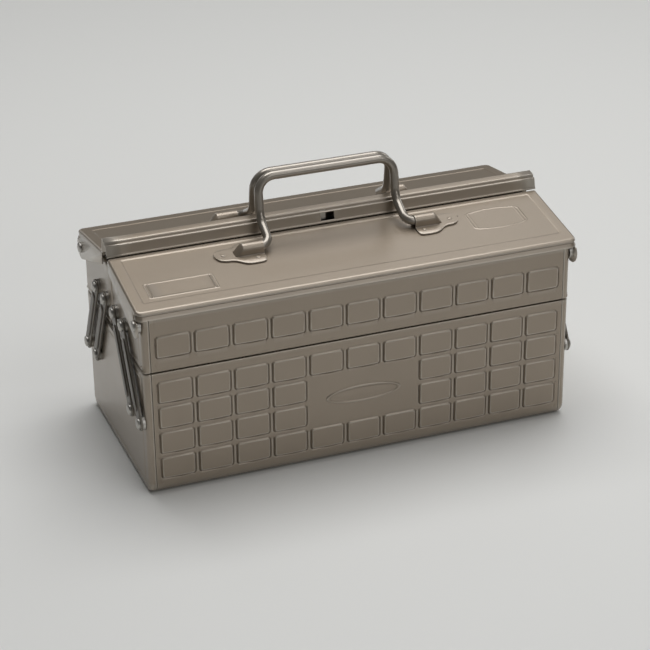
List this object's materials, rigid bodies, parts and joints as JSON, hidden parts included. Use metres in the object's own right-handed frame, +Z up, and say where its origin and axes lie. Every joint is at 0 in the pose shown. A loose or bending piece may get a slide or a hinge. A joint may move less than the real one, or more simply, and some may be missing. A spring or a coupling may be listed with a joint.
{
  "type": "cantilever tool box",
  "caption": "Pressed-steel tool box with a deep case, twin trays that swing out on parallel arms, hinged sloping lids and fold-down bail handles.",
  "frame": {"origin": "middle of the box's length and depth, on the surface it stands on", "axes": "+X along the length to the right seen from the front, +Y to the rear, +Z up"},
  "size_m": [0.3544, 0.166, 0.2127],
  "materials": {
    "bronze_paint": "satin metallic bronze-grey baked paint",
    "arm_paint": "satin metallic paint, rubbed bright along the edges",
    "handle_paint": "satin metallic paint, a little smoother where it is held",
    "rivet_steel": "plated steel, satin"
  },
  "bodies": {
    "case": {"case_shell": "bronze_paint", "case_end_left": "bronze_paint", "case_end_right": "bronze_paint", "case_pivot_rivets": "rivet_steel", "case_pivot_spacers": "rivet_steel"},
    "front_inner_arms": {"front_inner_arm_left": "arm_paint", "front_inner_arm_right": "arm_paint"},
    "front_outer_arms": {"front_outer_arm_left": "arm_paint", "front_outer_arm_right": "arm_paint"},
    "front_tray": {"front_tray_shell": "bronze_paint", "front_tray_end_left": "bronze_paint", "front_tray_end_right": "bronze_paint", "front_tray_pivot_rivets": "rivet_steel", "front_tray_pivot_spacers": "rivet_steel", "front_lid_hinge_rivets": "rivet_steel", "front_lid_hinge_spacers": "rivet_steel"},
    "front_lid": {"front_lid": "bronze_paint", "front_handle_bracket_left": "bronze_paint", "front_handle_bracket_right": "bronze_paint", "front_bracket_studs": "rivet_steel"},
    "front_handle": {"front_handle": "handle_paint"},
    "rear_inner_arms": {"rear_inner_arm_left": "arm_paint", "rear_inner_arm_right": "arm_paint"},
    "rear_outer_arms": {"rear_outer_arm_left": "arm_paint", "rear_outer_arm_right": "arm_paint"},
    "rear_tray": {"rear_tray_shell": "bronze_paint", "rear_tray_end_left": "bronze_paint", "rear_tray_end_right": "bronze_paint", "rear_tray_pivot_rivets": "rivet_steel", "rear_tray_pivot_spacers": "rivet_steel", "rear_lid_hinge_rivets": "rivet_steel", "rear_lid_hinge_spacers": "rivet_steel"},
    "rear_lid": {"rear_lid": "bronze_paint", "rear_handle_bracket_left": "bronze_paint", "rear_handle_bracket_right": "bronze_paint", "rear_bracket_studs": "rivet_steel", "lock_tongue": "rivet_steel"},
    "rear_handle": {"rear_handle": "handle_paint"}
  },
  "joints": [
    {"name": "front_tray_swing", "type": "hinge", "parent": "case", "child": "front_inner_arms", "pos_m": [0, -0.0486, 0.059], "axis": [1, 0, 0], "range_deg": [0, 59]},
    {"name": "front_outer_arm_swing", "type": "hinge", "parent": "case", "child": "front_outer_arms", "pos_m": [0, -0.0724, 0.059], "axis": [1, 0, 0], "range_deg": [0, 59]},
    {"name": "front_tray_level", "type": "hinge", "parent": "front_inner_arms", "child": "front_tray", "pos_m": [0, -0.0126, 0.1226], "axis": [1, 0, 0], "range_deg": [-59, 0]},
    {"name": "front_lid_hinge", "type": "hinge", "parent": "front_tray", "child": "front_lid", "pos_m": [0, -0.074, 0.1395], "axis": [1, 0, 0], "range_deg": [0, 90]},
    {"name": "front_handle_pivot", "type": "hinge", "parent": "front_lid", "child": "front_handle", "pos_m": [0, -0.03024, 0.16542], "axis": [1, 0, 0], "range_deg": [0, 126]},
    {"name": "rear_tray_swing", "type": "hinge", "parent": "case", "child": "rear_inner_arms", "pos_m": [0, 0.0486, 0.059], "axis": [-1, 0, 0], "range_deg": [0, 59]},
    {"name": "rear_outer_arm_swing", "type": "hinge", "parent": "case", "child": "rear_outer_arms", "pos_m": [0, 0.0724, 0.059], "axis": [-1, 0, 0], "range_deg": [0, 59]},
    {"name": "rear_tray_level", "type": "hinge", "parent": "rear_inner_arms", "child": "rear_tray", "pos_m": [0, 0.0126, 0.1226], "axis": [-1, 0, 0], "range_deg": [-59, 0]},
    {"name": "rear_lid_hinge", "type": "hinge", "parent": "rear_tray", "child": "rear_lid", "pos_m": [0, 0.074, 0.1395], "axis": [-1, 0, 0], "range_deg": [0, 90]},
    {"name": "rear_handle_pivot", "type": "hinge", "parent": "rear_lid", "child": "rear_handle", "pos_m": [0, 0.03024, 0.16542], "axis": [-1, 0, 0], "range_deg": [0, 126]}
  ],
  "couplings": [
    {"joint": "front_outer_arm_swing", "follows": "front_tray_swing", "ratio": 1},
    {"joint": "front_tray_level", "follows": "front_tray_swing", "ratio": -1},
    {"joint": "rear_outer_arm_swing", "follows": "rear_tray_swing", "ratio": 1},
    {"joint": "rear_tray_level", "follows": "rear_tray_swing", "ratio": -1}
  ]
}
